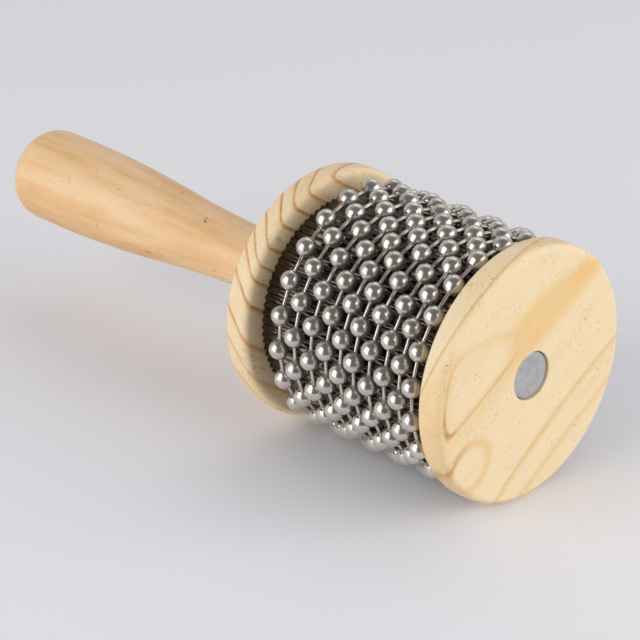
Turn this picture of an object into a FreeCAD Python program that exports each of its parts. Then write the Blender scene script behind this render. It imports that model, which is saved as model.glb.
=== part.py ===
import FreeCAD, Part
import math
import os

import Sketcher

# A cabasa: a wooden hand shaker with loops of steel ball chain round a ribbed drum.
# It stands on the front disc's face, with the drum's axis along Z and the handle up.
# The origin is the centre of the front disc's outer face. Lengths are in millimetres.

LOOP_COUNT = 10

# Driving dimensions: name, value, what it is
SIZES = (
    ("disc_diameter", 75.0, "front and rear disc, across"),
    ("disc_thickness", 8.2, "front and rear disc, along the axis"),
    ("disc_edge_radius", 1.9, "rounding of both edges of each disc"),
    ("drum_length", 65.3, "between the two discs"),
    ("crest_diameter", 61.6, "ribbed sleeve over its ribs"),
    ("rib_count", 84, "ribs round the sleeve"),
    ("rib_depth", 0.7, "crest of a rib above the root beside it"),
    ("sheet_thickness", 0.5, "wall of the steel sheet"),
    ("rib_root_share", 0.24, "flat root between two ribs, as a share of their pitch"),
    ("rib_flank_share", 0.16, "one sloping flank, as a share of the rib pitch"),
    ("sleeve_gap", 0.1, "round the core and at each end of the sleeve"),
    ("bead_diameter", 6.0, "one ball of the chain"),
    ("beads_per_loop", 21, "balls in one loop of chain"),
    ("pin_width", 1.15, "pin between two balls"),
    ("loop_clearance", 0.3, "between the balls and the ribs under them"),
    ("nest_gap", 0.1, "between the balls of neighbouring loops where they nest closest"),
    ("bolt_diameter", 6.0, "shank of the centre bolt"),
    ("bolt_head_diameter", 13.7, "flat head of the centre bolt"),
    ("bolt_head_thickness", 2.4, "flat head of the centre bolt"),
    ("bolt_head_sink", 0.6, "head below the front disc's face"),
    ("bolt_head_gap", 0.25, "round the head in its counterbore"),
    ("bolt_hole_gap", 0.3, "round the shank in the discs and the core"),
    ("bolt_tip_chamfer", 0.8, "end of the shank"),
    ("thread_gap", 0.05, "round the shank in the handle's insert"),
    ("thread_engagement", 15.0, "length of shank inside the insert"),
    ("insert_diameter", 9.0, "threaded bush in the handle"),
    ("insert_length", 18.0, "threaded bush in the handle"),
    ("insert_gap", 0.05, "round the bush in its bore"),
    ("bore_spare_length", 4.0, "handle's bore beyond the bush"),
    ("tenon_diameter", 13.0, "handle's tenon in the rear disc"),
    ("tenon_length", 6.0, "handle's tenon in the rear disc"),
    ("tenon_gap", 0.1, "round the tenon and at its end"),
    ("neck_diameter", 18.7, "handle where it leaves the disc"),
    ("neck_length", 18.3, "straight stretch of the neck"),
    ("neck_curve_length", 40.0, "hollow stretch above the neck"),
    ("belly_curve_length", 50.0, "full stretch up to the widest place"),
    ("belly_diameter", 28.7, "handle at its widest"),
    ("butt_length", 15.6, "from the widest place to the end"),
    ("butt_radius", 8.5, "rounding of the handle's end"),
)

# Free room along the drum: before the first loop, between the loops, and after the last one
LOOP_SLACKS = (1.9, 1.45, 2.05, 2.35, 2.35, 1.75, 2.05, 2.45, 2.95, 2.55, 7.3)

# Small turns of the loops away from an even half-pitch stagger, in degrees
LOOP_TURNS = (0.3, 0.1, 0.0, 0.5, 0.1, -0.2, -0.2, 0.1, -0.3, -1.3)
FIRST_TURN = 2.2

# How far each loop rides up on one side, where its chain has slipped along the drum
LOOP_RISES = (0.0, 0.0, 0.0, 0.0, 0.0, 0.5, 0.7, 1.5, 2.0, 3.3)
RISE_TURN = 0.0

# Sizes worked out in the sheet from the driving ones
DERIVED = (
    ("disc_radius", "disc_diameter / 2"),
    ("head_length", "2 * disc_thickness + drum_length"),
    ("crest_radius", "crest_diameter / 2"),
    ("root_radius", "crest_radius - rib_depth"),
    ("sleeve_inner_radius", "root_radius - sheet_thickness"),
    ("hollow_radius", "crest_radius - sheet_thickness"),
    ("sleeve_length", "drum_length - 2 * sleeve_gap"),
    ("core_radius", "sleeve_inner_radius - sleeve_gap"),
    ("rib_pitch", "pi * (crest_radius + root_radius) / rib_count"),
    ("flank_run", "rib_flank_share * rib_pitch"),
    ("root_half", "rib_root_share * rib_pitch / 2"),
    ("mouth_half", "root_half + flank_run"),
    ("crest_half", "rib_pitch / 2 - mouth_half"),
    ("corner_shift", "sheet_thickness * tan(atan(rib_depth / flank_run) / 2)"),
    ("hollow_top_half", "crest_half - corner_shift"),
    ("hollow_foot_half", "hollow_top_half + flank_run"),
    ("bead_radius", "bead_diameter / 2"),
    ("ring_radius", "crest_radius + loop_clearance + bead_radius"),
    ("half_pitch_chord", "2 * ring_radius * sin(90 / beads_per_loop)"),
    ("nest_step", "sqrt((bead_diameter + nest_gap) ^ 2 - half_pitch_chord ^ 2)"),
    ("loop_room", f"drum_length - bead_diameter - {LOOP_COUNT - 1} * nest_step"),
    ("bolt_radius", "bolt_diameter / 2"),
    ("bolt_hole_radius", "bolt_radius + bolt_hole_gap"),
    ("bolt_head_radius", "bolt_head_diameter / 2"),
    ("counterbore_radius", "bolt_head_radius + bolt_head_gap"),
    ("counterbore_depth", "bolt_head_sink + bolt_head_thickness"),
    ("tenon_radius", "tenon_diameter / 2"),
    ("socket_radius", "tenon_radius + tenon_gap"),
    ("socket_depth", "tenon_length + tenon_gap"),
    ("insert_radius", "insert_diameter / 2"),
    ("insert_bore_radius", "bolt_radius + thread_gap"),
    ("handle_bore_radius", "insert_radius + insert_gap"),
    ("handle_bore_top", "insert_length - tenon_length + bore_spare_length"),
    ("bolt_end", "head_length - tenon_length + thread_engagement"),
    ("neck_radius", "neck_diameter / 2"),
    ("belly_radius", "belly_diameter / 2"),
    ("swell_length", "neck_curve_length + belly_curve_length"),
    ("swell_height", "belly_radius - neck_radius"),
    ("swell_angle", "2 * atan(swell_height / swell_length) / 1 deg"),
    ("neck_arc_radius", "neck_curve_length / sin(swell_angle)"),
    ("belly_arc_radius", "belly_curve_length / sin(swell_angle)"),
    ("swell_start", "neck_length"),
    ("swell_turn", "swell_start + neck_curve_length"),
    ("swell_turn_radius", "neck_radius + neck_arc_radius * (1 - cos(swell_angle))"),
    ("swell_end", "swell_turn + belly_curve_length"),
    ("handle_length", "swell_end + butt_length"),
    ("butt_start", "handle_length - butt_radius"),
    ("butt_flat_radius", "belly_radius - butt_radius"),
)


def sheet_rows():
    """Every row of the sheet: name, content and note."""
    rows = [(name, str(value), note) for name, value, note in SIZES]
    rows += [
        (f"loop_slack_{n:02d}", str(slack), "free room beside a loop, as a weight")
        for n, slack in enumerate(LOOP_SLACKS)
    ]
    rows += [
        (f"loop_turn_{n:02d}", str(turn), "small turn of a loop, in degrees")
        for n, turn in enumerate(LOOP_TURNS, start=1)
    ]
    rows += [
        (f"loop_rise_{n:02d}", str(rise), "height a loop gains on its slipped side")
        for n, rise in enumerate(LOOP_RISES, start=1)
    ]
    rows += [
        ("first_turn", str(FIRST_TURN), "turn of the first loop, in degrees"),
        ("rise_turn", str(RISE_TURN), "direction in which the loops ride up, in degrees"),
    ]
    rows += [(name, f"={formula}", "worked out") for name, formula in DERIVED]
    return rows


SIZE_NAMES = {name for name, _, _ in sheet_rows()}


def fill_sheet(doc):
    """Put the driving and the derived sizes in the sheet, each under its own name."""
    sheet = doc.addObject("Spreadsheet::Sheet", "sizes")
    for row, (name, content, note) in enumerate(sheet_rows(), start=1):
        sheet.set(f"A{row}", name)
        sheet.set(f"B{row}", content)
        sheet.set(f"C{row}", note)
        sheet.setAlias(f"B{row}", name)
    doc.recompute()
    return sheet


def size(doc, name):
    """Value of one size in the sheet, as a plain number."""
    value = getattr(doc.sizes, name)
    return float(getattr(value, "Value", value))


def in_sheet(formula):
    """The formula with each size's name written as a reference to the sheet."""
    words = formula.split(" ")
    return " ".join(f"sizes.{word}" if word in SIZE_NAMES else word for word in words)


def origin_part(body, role):
    """One of the body's own origin planes or axes."""
    return next(part for part in body.Origin.OriginFeatures if part.Role == role)


def new_body(doc, name, height="0"):
    """An empty body whose foot stands at the given height on the axis."""
    body = doc.addObject("PartDesign::Body", name)
    body.Label = name
    if height != "0":
        body.setExpression("Placement.Base.z", in_sheet(height))
    return body


def new_sketch(body, name, plane):
    """An empty sketch on one of the body's origin planes."""
    sketch = body.newObject("Sketcher::SketchObject", name)
    sketch.AttachmentSupport = (origin_part(body, plane), [""])
    sketch.MapMode = "FlatFace"
    return sketch


def hold_corner(sketch, line, point, number, formula, across):
    """Tie one coordinate of a corner to a formula of the sheet."""
    if formula == "0":
        axis = -2 if across else -1
        sketch.addConstraint(Sketcher.Constraint("PointOnObject", line, point, axis))
        return
    kind = "DistanceX" if across else "DistanceY"
    label = f"{'across' if across else 'along'}_{number}"
    bound = in_sheet(formula)
    value = float(sketch.evalExpression(bound))
    index = sketch.addConstraint(Sketcher.Constraint(kind, -1, 1, line, point, value))
    sketch.renameConstraint(index, label)
    sketch.setExpression(f"Constraints.{label}", bound)


def draw_outline(body, name, plane, corners):
    """Closed outline in a sketch. A corner is (across, along) or, where an arc runs on to
    the next corner, (across, along, arc radius, side): side 1 bulges to the left of the way
    forward and -1 to its right."""
    sketch = new_sketch(body, name, plane)
    places = []
    for corner in corners:
        across, along = (float(sketch.evalExpression(in_sheet(part))) for part in corner[:2])
        places.append(FreeCAD.Vector(across, along, 0))
    ends = []
    for number, corner in enumerate(corners):
        start = places[number]
        finish = places[(number + 1) % len(corners)]
        if len(corner) == 2:
            index = sketch.addGeometry(Part.LineSegment(start, finish), False)
            ends.append((index, 1, 2))
            continue
        radius = float(sketch.evalExpression(in_sheet(corner[2])))
        chord = finish - start
        left = FreeCAD.Vector(-chord.y, chord.x, 0).normalize() * corner[3]
        rise = radius - math.sqrt(max(radius ** 2 - (chord.Length / 2) ** 2, 0.0))
        middle = (start + finish) * 0.5 + left * rise
        arc = Part.Arc(start, middle, finish)
        index = sketch.addGeometry(arc, False)
        forward = sketch.getPoint(index, 1).distanceToPoint(start) < 1e-6
        ends.append((index, 1, 2) if forward else (index, 2, 1))
        held = sketch.addConstraint(Sketcher.Constraint("Radius", index, radius))
        sketch.renameConstraint(held, f"arc_{number}")
        sketch.setExpression(f"Constraints.arc_{number}", in_sheet(corner[2]))
    for number, corner in enumerate(corners):
        index, first, _ = ends[number]
        before, _, last = ends[number - 1]
        sketch.addConstraint(Sketcher.Constraint("Coincident", before, last, index, first))
        hold_corner(sketch, index, first, number, corner[0], True)
        hold_corner(sketch, index, first, number, corner[1], False)
    return sketch


def turned(body, name, corners):
    """Turned piece: an outline beside the axis, revolved once round it."""
    sketch = draw_outline(body, f"{name}_outline", "XZ_Plane", corners)
    solid = body.newObject("PartDesign::Revolution", f"{name}_turned")
    solid.Profile = sketch
    solid.ReferenceAxis = (sketch, ["V_Axis"])
    solid.Angle = 360.0
    body.Document.recompute()
    return solid


def round_edges(body, base, name, heights, radius, formula):
    """Round the circular edges of the given radius at the given heights."""
    chosen = []
    for number, edge in enumerate(base.Shape.Edges, start=1):
        curve = edge.Curve
        if not isinstance(curve, Part.Circle):
            continue
        if abs(curve.Radius - radius) < 1e-4 and any(abs(curve.Center.z - z) < 1e-4 for z in heights):
            chosen.append(f"Edge{number}")
    rounding = body.newObject("PartDesign::Fillet", name)
    rounding.Base = (base, chosen)
    rounding.setExpression("Radius", in_sheet(formula))
    body.Document.recompute()
    return rounding


def build_front_disc(doc):
    """Front disc, with the counterbore and the hole for the centre bolt."""
    body = new_body(doc, "front_disc")
    disc = turned(body, "front_disc", (
        ("counterbore_radius", "0"),
        ("disc_radius", "0"),
        ("disc_radius", "disc_thickness"),
        ("bolt_hole_radius", "disc_thickness"),
        ("bolt_hole_radius", "counterbore_depth"),
        ("counterbore_radius", "counterbore_depth"),
    ))
    faces = (0.0, size(doc, "disc_thickness"))
    round_edges(body, disc, "front_disc_rounding", faces, size(doc, "disc_radius"), "disc_edge_radius")
    return body


def build_rear_disc(doc):
    """Rear disc, with the bolt hole and the socket for the handle's tenon."""
    body = new_body(doc, "rear_disc", "disc_thickness + drum_length")
    disc = turned(body, "rear_disc", (
        ("bolt_hole_radius", "0"),
        ("disc_radius", "0"),
        ("disc_radius", "disc_thickness"),
        ("socket_radius", "disc_thickness"),
        ("socket_radius", "disc_thickness - socket_depth"),
        ("bolt_hole_radius", "disc_thickness - socket_depth"),
    ))
    faces = (0.0, size(doc, "disc_thickness"))
    round_edges(body, disc, "rear_disc_rounding", faces, size(doc, "disc_radius"), "disc_edge_radius")
    return body


def draw_ring(body, name, outer, inner):
    """Two circles round the axis."""
    sketch = new_sketch(body, name, "XY_Plane")
    for number, formula in enumerate((outer, inner)):
        bound = in_sheet(formula)
        radius = float(sketch.evalExpression(bound))
        circle = Part.Circle(FreeCAD.Vector(0, 0, 0), FreeCAD.Vector(0, 0, 1), radius)
        index = sketch.addGeometry(circle, False)
        sketch.addConstraint(Sketcher.Constraint("Coincident", index, 3, -1, 1))
        held = sketch.addConstraint(Sketcher.Constraint("Radius", index, radius))
        sketch.renameConstraint(held, f"ring_{number}")
        sketch.setExpression(f"Constraints.ring_{number}", bound)
    return sketch


def padded_ring(body, name, outer, inner, length):
    """Tube round the axis, raised from the body's foot."""
    pad = body.newObject("PartDesign::Pad", f"{name}_tube")
    pad.Profile = draw_ring(body, f"{name}_ring", outer, inner)
    pad.setExpression("Length", in_sheet(length))
    body.Document.recompute()
    return pad


def build_drum_core(doc):
    """Wooden core of the drum, bored through for the bolt."""
    body = new_body(doc, "drum_core", "disc_thickness")
    padded_ring(body, "core", "core_radius", "bolt_hole_radius", "drum_length")
    return body


def crimped_wire(doc, corners):
    """Closed wire that repeats a few corners once for each rib. A corner is (out, across,
    side, turn): its two sizes, the side it lies on, and its turn in rib pitches."""
    count = int(size(doc, "rib_count"))
    axis = FreeCAD.Vector(0, 0, 1)
    points = []
    for rib in range(count):
        for out, across, side, turn in corners:
            place = FreeCAD.Vector(size(doc, out), side * size(doc, across), 0)
            spin = FreeCAD.Rotation(axis, 360.0 * (rib + turn) / count)
            points.append(spin.multVec(place))
    return Part.makePolygon(points + points[:1])


def build_ribbed_sleeve(doc):
    """Crimped steel sheet round the core: grooves outside, hollows behind the ribs inside."""
    grooves = crimped_wire(doc, (
        ("root_radius", "root_half", -1, 0),
        ("root_radius", "root_half", 1, 0),
        ("crest_radius", "mouth_half", 1, 0),
        ("crest_radius", "mouth_half", -1, 1),
    ))
    hollows = crimped_wire(doc, (
        ("sleeve_inner_radius", "hollow_foot_half", -1, 0.5),
        ("hollow_radius", "hollow_top_half", -1, 0.5),
        ("hollow_radius", "hollow_top_half", 1, 0.5),
        ("sleeve_inner_radius", "hollow_foot_half", 1, 0.5),
    ))
    section = doc.addObject("Part::Feature", "sleeve_section")
    section.Shape = Part.makeFace([grooves, hollows], "Part::FaceMakerBullseye")
    sleeve = doc.addObject("Part::Extrusion", "ribbed_sleeve")
    sleeve.Label = "ribbed_sleeve"
    sleeve.Base = section
    sleeve.DirMode = "Custom"
    sleeve.Dir = FreeCAD.Vector(0, 0, 1)
    sleeve.Solid = True
    sleeve.setExpression("LengthFwd", in_sheet("sleeve_length"))
    sleeve.setExpression("Placement.Base.z", in_sheet("disc_thickness + sleeve_gap"))
    doc.recompute()
    return sleeve


def build_centre_bolt(doc):
    """Bolt with a flat round head, from the counterbore into the handle's insert."""
    body = new_body(doc, "centre_bolt", "bolt_head_sink")
    turned(body, "bolt", (
        ("0", "0"),
        ("bolt_head_radius", "0"),
        ("bolt_head_radius", "bolt_head_thickness"),
        ("bolt_radius", "bolt_head_thickness"),
        ("bolt_radius", "bolt_end - bolt_head_sink - bolt_tip_chamfer"),
        ("bolt_radius - bolt_tip_chamfer", "bolt_end - bolt_head_sink"),
        ("0", "bolt_end - bolt_head_sink"),
    ))
    return body


def build_handle_insert(doc):
    """Threaded bush that fills the mouth of the handle's bore."""
    body = new_body(doc, "handle_insert", "head_length - tenon_length")
    padded_ring(body, "insert", "insert_radius", "insert_bore_radius", "insert_length")
    return body


def build_handle(doc):
    """Turned handle: tenon, straight neck, swelling grip and rounded end."""
    body = new_body(doc, "handle", "head_length")
    turned(body, "handle", (
        ("handle_bore_radius", "0 - tenon_length"),
        ("tenon_radius", "0 - tenon_length"),
        ("tenon_radius", "0"),
        ("neck_radius", "0"),
        ("neck_radius", "swell_start", "neck_arc_radius", 1),
        ("swell_turn_radius", "swell_turn", "belly_arc_radius", -1),
        ("belly_radius", "swell_end"),
        ("belly_radius", "butt_start", "butt_radius", -1),
        ("butt_flat_radius", "handle_length"),
        ("0", "handle_length"),
        ("0", "handle_bore_top"),
        ("handle_bore_radius", "handle_bore_top"),
    ))
    return body


def bead_solid(diameter):
    """One ball, drawn with flat sides: eighteen square and eight three-cornered faces whose
    corners lie on the ball's round surface. A square face looks along each axis."""
    long_side = 1 + math.sqrt(2)
    reach = diameter / 2 / math.sqrt(2 + long_side ** 2)
    corners = [
        FreeCAD.Vector(*(sign[k] * (long_side if k == axis else 1) * reach for k in range(3)))
        for axis in range(3)
        for sign in ((a, b, c) for a in (-1, 1) for b in (-1, 1) for c in (-1, 1))
    ]
    steps = (-1, 0, 1)
    outward = [FreeCAD.Vector(a, b, c) for a in steps for b in steps for c in steps if (a, b, c) != (0, 0, 0)]
    faces = []
    for way in outward:
        far = max(corner.dot(way) for corner in corners)
        ring = [corner for corner in corners if far - corner.dot(way) < 1e-6 * diameter]
        side = (ring[0] - way * (ring[0].dot(way) / way.dot(way))).normalize()
        other = way.cross(side).normalize()
        ring.sort(key=lambda corner: math.atan2(corner.dot(other), corner.dot(side)))
        faces.append(Part.Face(Part.makePolygon(ring + ring[:1])))
    return Part.Solid(Part.Shell(faces))


def loop_heights(doc):
    """Height of each loop's middle: nested steps, with the free room shared out as the sheet says."""
    slacks = [size(doc, f"loop_slack_{n:02d}") for n in range(LOOP_COUNT + 1)]
    share = size(doc, "loop_room") / sum(slacks)
    heights = []
    level = size(doc, "disc_thickness") + size(doc, "bead_radius") + slacks[0] * share
    for slack in slacks[1:]:
        heights.append(level)
        level += size(doc, "nest_step") + slack * share
    return heights


def loop_places(doc, number):
    """Middles of a loop's balls, measured from the loop's own height."""
    count = int(size(doc, "beads_per_loop"))
    radius = size(doc, "ring_radius")
    stagger = (number + 1) % 2 * 180.0 / count
    start = size(doc, "first_turn") + size(doc, f"loop_turn_{number:02d}") + stagger
    places = []
    for step in range(count):
        turn = start + step * 360.0 / count
        aside = math.radians(turn - size(doc, "rise_turn"))
        lift = size(doc, f"loop_rise_{number:02d}") * math.cos(aside / 2) ** 8
        way = math.radians(turn)
        places.append(FreeCAD.Vector(radius * math.cos(way), radius * math.sin(way), lift))
    return places


def laid_along(solid, place, way):
    """Copy of a solid drawn round the origin, moved to a place beside the axis with its Y
    along the given way and its X outward."""
    outward = FreeCAD.Vector(place.x, place.y, 0)
    turn = FreeCAD.Rotation(outward, way, FreeCAD.Vector(0, 0, 1), "YXZ")
    piece = solid.copy()
    piece.Placement = FreeCAD.Placement(place, turn)
    return piece


def build_bead_loop(doc, number, height, bead):
    """Endless ball chain round the sleeve: balls with a pin between each two of them."""
    places = loop_places(doc, number)
    width = size(doc, "pin_width")
    flat = bead.BoundBox.XLength
    pieces = []
    for step, place in enumerate(places):
        before = places[step - 1]
        after = places[(step + 1) % len(places)]
        pieces.append(laid_along(bead, place, after - before))
        length = (after - place).Length - flat
        pin = Part.makeBox(width, length, width, FreeCAD.Vector(-width / 2, -length / 2, -width / 2))
        pieces.append(laid_along(pin, (place + after) * 0.5, after - place))
    loop = doc.addObject("Part::Feature", f"bead_loop_{number:02d}")
    loop.Label = f"bead_loop_{number:02d}"
    loop.Shape = Part.makeCompound(pieces)
    loop.Placement = FreeCAD.Placement(FreeCAD.Vector(0, 0, height), FreeCAD.Rotation())
    return loop


def check_document(doc, nodes):
    """Stop if any object failed or any sub-part has no sound shape."""
    for thing in doc.Objects:
        if "Invalid" in thing.State or "Error" in thing.State:
            raise RuntimeError(f"{thing.Label} did not build: {thing.State}")
    for node in nodes:
        if node.Shape.isNull() or not node.Shape.isValid() or node.Shape.Volume <= 0:
            raise RuntimeError(f"{node.Label} has no sound shape")


def main():
    doc = FreeCAD.newDocument("cabasa")
    fill_sheet(doc)
    nodes = [
        build_front_disc(doc),
        build_rear_disc(doc),
        build_drum_core(doc),
        build_ribbed_sleeve(doc),
        build_centre_bolt(doc),
        build_handle_insert(doc),
        build_handle(doc),
    ]
    bead = bead_solid(size(doc, "bead_diameter"))
    for number, height in enumerate(loop_heights(doc), start=1):
        nodes.append(build_bead_loop(doc, number, height, bead))
    doc.recompute()
    check_document(doc, nodes)
    os.makedirs("parts", exist_ok=True)
    for node in nodes:
        node.Shape.exportStep(f"parts/{node.Label}.step")
        print(f"{node.Label}: {len(node.Shape.Solids)} solids, {node.Shape.Volume:.1f} mm3")


main()
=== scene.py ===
"""Looks of a wooden shaker drum: two pine discs, a crimped steel sleeve wrapped in steel ball chain,
a centre bolt and a turned handle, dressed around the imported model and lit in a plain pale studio.
"""

import logging
import math
import random
from collections.abc import Callable, Iterator, Sequence
from contextlib import contextmanager
from dataclasses import dataclass, field
from enum import Enum

import bmesh
import bpy
from mathutils import Matrix, Vector


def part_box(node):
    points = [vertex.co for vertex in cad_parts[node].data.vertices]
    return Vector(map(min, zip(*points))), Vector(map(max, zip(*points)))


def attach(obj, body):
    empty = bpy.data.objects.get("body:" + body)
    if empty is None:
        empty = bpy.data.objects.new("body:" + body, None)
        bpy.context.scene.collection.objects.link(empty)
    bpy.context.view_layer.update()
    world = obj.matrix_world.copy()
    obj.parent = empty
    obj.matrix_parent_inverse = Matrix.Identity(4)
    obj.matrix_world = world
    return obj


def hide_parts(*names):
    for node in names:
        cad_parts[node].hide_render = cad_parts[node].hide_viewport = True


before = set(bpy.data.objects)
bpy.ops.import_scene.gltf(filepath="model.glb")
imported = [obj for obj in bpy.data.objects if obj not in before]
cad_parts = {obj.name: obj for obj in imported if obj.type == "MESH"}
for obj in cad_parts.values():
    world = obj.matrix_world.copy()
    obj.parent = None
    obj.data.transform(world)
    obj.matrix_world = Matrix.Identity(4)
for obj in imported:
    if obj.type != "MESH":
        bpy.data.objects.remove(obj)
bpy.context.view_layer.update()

LOG = logging.getLogger("shaker")
MM = 0.001
# Two places that are closer than this, in metres, are one.
HAIR = 1e-6
FULL_TURN = 2.0 * math.pi
UP = (0.0, 0.0, 1.0)

Point = tuple[float, float]
Triple = tuple[float, float, float]
Colour = Triple


class Body(Enum):
    """The two bodies of the frame: what is held, and what turns on it."""

    FRAME = "shaker_frame"
    CHAINS = "bead_chains"


class Slot(Enum):
    """The record's material slots, one named for each new piece."""

    PINE = "pine"
    SLEEVE_STEEL = "sleeve_steel"
    ZINC_STEEL = "zinc_steel"
    HANDLE_WOOD = "handle_wood"
    BEAD_STEEL = "bead_steel"


def tone(red: float, green: float, blue: float) -> Colour:
    """Turns a screen colour of 0 to 255 into the linear colour that a shader takes."""
    return tuple(((value / 255.0 + 0.055) / 1.055) ** 2.4 for value in (red, green, blue))


class Wire:
    """One output socket of a shader node, with arithmetic that adds the nodes it needs."""

    def __init__(self, bench: "Bench", socket: bpy.types.NodeSocket | None) -> None:
        """Keeps the socket and the bench whose nodes it belongs to."""
        self.bench = bench
        self.socket = socket

    def _maths(self, operation: str, *values: "Wire | float") -> "Wire":
        """Adds one Math node on the values."""
        return self.bench.add("ShaderNodeMath", {"operation": operation}, dict(enumerate(values)))

    def _vector_maths(self, operation: str, other: "Wire | Triple", result: str = "Vector") -> "Wire":
        """Adds one Vector Math node on this vector and another, and gives the named result."""
        sockets = {0: self, 1: other}
        return self.bench.add("ShaderNodeVectorMath", {"operation": operation}, sockets, result)

    def __add__(self, other: "Wire | float") -> "Wire":
        """This plus other."""
        return self._maths("ADD", self, other)

    __radd__ = __add__

    def __sub__(self, other: "Wire | float") -> "Wire":
        """This less other."""
        return self._maths("SUBTRACT", self, other)

    def __rsub__(self, other: float) -> "Wire":
        """Other less this."""
        return self._maths("SUBTRACT", other, self)

    def __mul__(self, other: "Wire | float") -> "Wire":
        """This times other."""
        return self._maths("MULTIPLY", self, other)

    __rmul__ = __mul__

    def __truediv__(self, other: "Wire | float") -> "Wire":
        """This divided by other."""
        return self._maths("DIVIDE", self, other)

    def __pow__(self, other: float) -> "Wire":
        """This to a power."""
        return self._maths("POWER", self, other)

    def __neg__(self) -> "Wire":
        """This times minus one."""
        return self._maths("MULTIPLY", self, -1.0)

    def largest(self, other: "Wire | float") -> "Wire":
        """The larger of this and other."""
        return self._maths("MAXIMUM", self, other)

    def softly_largest(self, other: "Wire | float", reach: float) -> "Wire":
        """The larger of this and other, rounded off where they are closer than a reach."""
        return self._maths("SMOOTH_MAX", self, other, reach)

    def smallest(self, other: "Wire | float") -> "Wire":
        """The smaller of this and other."""
        return self._maths("MINIMUM", self, other)

    def step(self, low: float, high: float) -> "Wire":
        """Rises smoothly from 0 where this is low to 1 where it is high."""
        sockets = {"Value": self, "From Min": low, "From Max": high}
        return self.bench.add("ShaderNodeMapRange", {"interpolation_type": "SMOOTHSTEP"}, sockets)

    def ridge(self, start: float, top: float, top_end: float, end: float) -> "Wire":
        """Rises from 0 at the start to 1 at the top, and falls from the top's end to 0 at the end."""
        return self.step(start, top) * (1.0 - self.step(top_end, end))

    def dot(self, direction: Triple) -> "Wire":
        """How far this point or vector reaches along a direction."""
        return self._vector_maths("DOT_PRODUCT", direction, "Value")

    def times(self, factors: Triple) -> "Wire":
        """This vector with each part multiplied by its own factor."""
        return self._vector_maths("MULTIPLY", factors)

    def shifted(self, offset: "Wire | Triple") -> "Wire":
        """This vector moved by another."""
        return self._vector_maths("ADD", offset)

    def length(self) -> "Wire":
        """The length of this vector."""
        return self.bench.add("ShaderNodeVectorMath", {"operation": "LENGTH"}, {0: self}, "Value")


class Bench:
    """The node tree of one material or world, and the ways to add nodes to it."""

    def __init__(self, tree: bpy.types.NodeTree) -> None:
        """Clears the tree and keeps it."""
        self.tree = tree
        self.tree.nodes.clear()

    def add(
        self,
        kind: str,
        settings: dict[str, object] | None = None,
        sockets: dict[str | int, object] | None = None,
        result: str | int = 0,
    ) -> Wire:
        """Adds one node: its settings first, then what its sockets hold or are linked to.

        Args:
            kind: The node's type.
            settings: Attributes of the node.
            sockets: Values or wires by socket name or number.
            result: The name or number of the output that is wanted.

        Returns:
            The wanted output as a wire, which is empty for an output node.
        """
        node = self.tree.nodes.new(kind)
        for key, value in (settings or {}).items():
            setattr(node, key, value)
        for key, value in (sockets or {}).items():
            if isinstance(value, Wire):
                self.tree.links.new(value.socket, node.inputs[key])
            else:
                node.inputs[key].default_value = value
        return Wire(self, node.outputs[result] if len(node.outputs) else None)

    def place(self) -> Wire:
        """The point on the piece in the row frame, in millimetres."""
        metres = self.add("ShaderNodeTexCoord", result="Object")
        return metres.times((1.0 / MM, 1.0 / MM, 1.0 / MM))

    def ray(self, kind: str) -> Wire:
        """Whether a ray is of the kind that a Light Path output names: 1 or 0."""
        return self.add("ShaderNodeLightPath", result=kind)

    def join(self, first: Wire | float, second: Wire | float, third: Wire | float) -> Wire:
        """A vector made of three numbers."""
        return self.add("ShaderNodeCombineXYZ", None, {0: first, 1: second, 2: third})

    def noise(self, where: Wire, size: float, detail: float = 2.0, roughness: float = 0.5) -> Wire:
        """Soft noise from 0 to 1, by the width of its patches in millimetres and by its finer layers."""
        sockets = {"Vector": where, "Scale": 1.0 / size, "Detail": detail, "Roughness": roughness}
        return self.add("ShaderNodeTexNoise", None, sockets)

    def blend(
        self, share: Wire | float, first: Wire | Colour, second: Wire | Colour, way: str = "MIX"
    ) -> Wire:
        """Mixes two colours.

        Args:
            share: How much of the second one there is.
            first: The colour at share 0.
            second: The colour at share 1.
            way: How they are mixed.

        Returns:
            The mixed colour.
        """
        settings = {"data_type": "RGBA", "blend_type": way, "clamp_factor": True}
        sockets = {0: share, 6: self._solid(first), 7: self._solid(second)}
        return self.add("ShaderNodeMix", settings, sockets, 2)

    @staticmethod
    def _solid(colour: Wire | Colour) -> Wire | tuple[float, ...]:
        """A colour with the alpha that a colour socket wants, or the wire as it is."""
        return colour if isinstance(colour, Wire) else (*colour, 1.0)

    def bump(self, height: Wire, depth: float, strength: float = 1.0) -> Wire:
        """A normal bent by a height of 0 to 1, by the depth of a height of 1 in millimetres."""
        sockets = {"Strength": strength, "Distance": depth * MM, "Height": height}
        return self.add("ShaderNodeBump", None, sockets)

    def finish(self, **sockets: object) -> None:
        """Ends a material with one Principled shader whose sockets are given by name."""
        named = {key.replace("_", " "): value for key, value in sockets.items()}
        shader = self.add("ShaderNodeBsdfPrincipled", None, named)
        self.add("ShaderNodeOutputMaterial", None, {"Surface": shader})


# How much soft band and how much dark thread a board's figure has at a point.
Figure = tuple[Wire, Wire]


@dataclass(frozen=True)
class Finish:
    """A finish that becomes a material of its own, under its name."""

    name: str

    def build(self) -> bpy.types.Material:
        """Builds the material.

        Returns:
            The finished material.
        """
        material = bpy.data.materials.new(self.name)
        material.use_nodes = True
        self.paint(Bench(material.node_tree))
        return material

    def paint(self, bench: Bench) -> None:
        """Adds the finish's nodes to the material's bench."""
        raise NotImplementedError


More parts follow.
